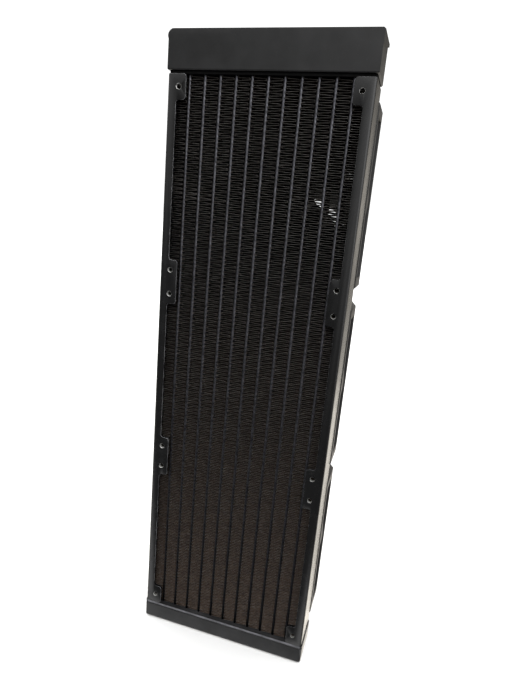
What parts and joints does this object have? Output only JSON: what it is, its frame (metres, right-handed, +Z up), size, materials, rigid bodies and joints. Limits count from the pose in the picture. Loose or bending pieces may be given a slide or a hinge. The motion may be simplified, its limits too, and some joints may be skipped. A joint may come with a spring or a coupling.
{
  "type": "fan-cooled liquid cooler",
  "caption": "Slim upright liquid-to-air cooler: a tube-and-fin core between an upper and a lower tank, folded side channels with screw tabs, and axial fans on its back.",
  "frame": {"origin": "centre of the footprint at the underside of the lower tank", "axes": "+Z up along the tubes, -Y out of the finned front face, +Y towards the fans, +X to the right seen from the front"},
  "size_m": [0.1218, 0.0538, 0.3956],
  "materials": {
    "tank_coat": "satin black enamel on aluminium sheet",
    "channel_coat": "satin black enamel on aluminium sheet",
    "tube_coat": "thin black enamel on drawn aluminium tube",
    "fin_coat": "thin black enamel on folded aluminium foil",
    "bare_aluminium": "mill",
    "port_brass": "black enamel outside, bare thread",
    "fan_frame_plastic": "moulded, fine texture",
    "fan_rotor_plastic": "moulded, satin",
    "yoke_steel": "zinc plated",
    "magnet_ferrite": "bonded ferrite, matt",
    "shaft_steel": "ground",
    "bearing_bronze": "sintered bronze",
    "stator_steel": "laminated steel with copper windings",
    "board_laminate": "glass-epoxy laminate",
    "screw_steel": "black zinc"
  },
  "bodies": {
    "cooler": {"upper_tank": "tank_coat", "lower_tank": "tank_coat", "upper_header_plate": "tank_coat", "lower_header_plate": "tank_coat", "tank_baffle": "bare_aluminium", "inlet_port_bush": "port_brass", "outlet_port_bush": "port_brass", "flat_tube_01": "tube_coat", "flat_tube_02": "tube_coat", "flat_tube_03": "tube_coat", "flat_tube_04": "tube_coat", "flat_tube_05": "tube_coat", "flat_tube_06": "tube_coat", "flat_tube_07": "tube_coat", "flat_tube_08": "tube_coat", "flat_tube_09": "tube_coat", "flat_tube_10": "tube_coat", "flat_tube_11": "tube_coat", "flat_tube_12": "tube_coat", "flat_tube_13": "tube_coat", "fin_strip_01": "fin_coat", "fin_strip_02": "fin_coat", "fin_strip_03": "fin_coat", "fin_strip_04": "fin_coat", "fin_strip_05": "fin_coat", "fin_strip_06": "fin_coat", "fin_strip_07": "fin_coat", "fin_strip_08": "fin_coat", "fin_strip_09": "fin_coat", "fin_strip_10": "fin_coat", "fin_strip_11": "fin_coat", "fin_strip_12": "fin_coat", "left_side_channel": "channel_coat", "right_side_channel": "channel_coat", "fan_1_frame": "fan_frame_plastic", "fan_1_bearing": "bearing_bronze", "fan_1_stator": "stator_steel", "fan_1_board": "board_laminate", "fan_2_frame": "fan_frame_plastic", "fan_2_bearing": "bearing_bronze", "fan_2_stator": "stator_steel", "fan_2_board": "board_laminate", "fan_3_frame": "fan_frame_plastic", "fan_3_bearing": "bearing_bronze", "fan_3_stator": "stator_steel", "fan_3_board": "board_laminate", "fan_screws": "screw_steel"},
    "rotor_1": {"fan_1_rotor": "fan_rotor_plastic", "fan_1_yoke": "yoke_steel", "fan_1_magnet": "magnet_ferrite", "fan_1_shaft": "shaft_steel"},
    "rotor_2": {"fan_2_rotor": "fan_rotor_plastic", "fan_2_yoke": "yoke_steel", "fan_2_magnet": "magnet_ferrite", "fan_2_shaft": "shaft_steel"},
    "rotor_3": {"fan_3_rotor": "fan_rotor_plastic", "fan_3_yoke": "yoke_steel", "fan_3_magnet": "magnet_ferrite", "fan_3_shaft": "shaft_steel"}
  },
  "joints": [
    {"name": "fan_1_spin", "type": "hinge", "parent": "cooler", "child": "rotor_1", "pos_m": [0, 0.01255, 0.0733], "axis": [0, 1, 0], "continuous": true},
    {"name": "fan_2_spin", "type": "hinge", "parent": "cooler", "child": "rotor_2", "pos_m": [0, 0.01255, 0.1933], "axis": [0, 1, 0], "continuous": true},
    {"name": "fan_3_spin", "type": "hinge", "parent": "cooler", "child": "rotor_3", "pos_m": [0, 0.01255, 0.3133], "axis": [0, 1, 0], "continuous": true}
  ]
}
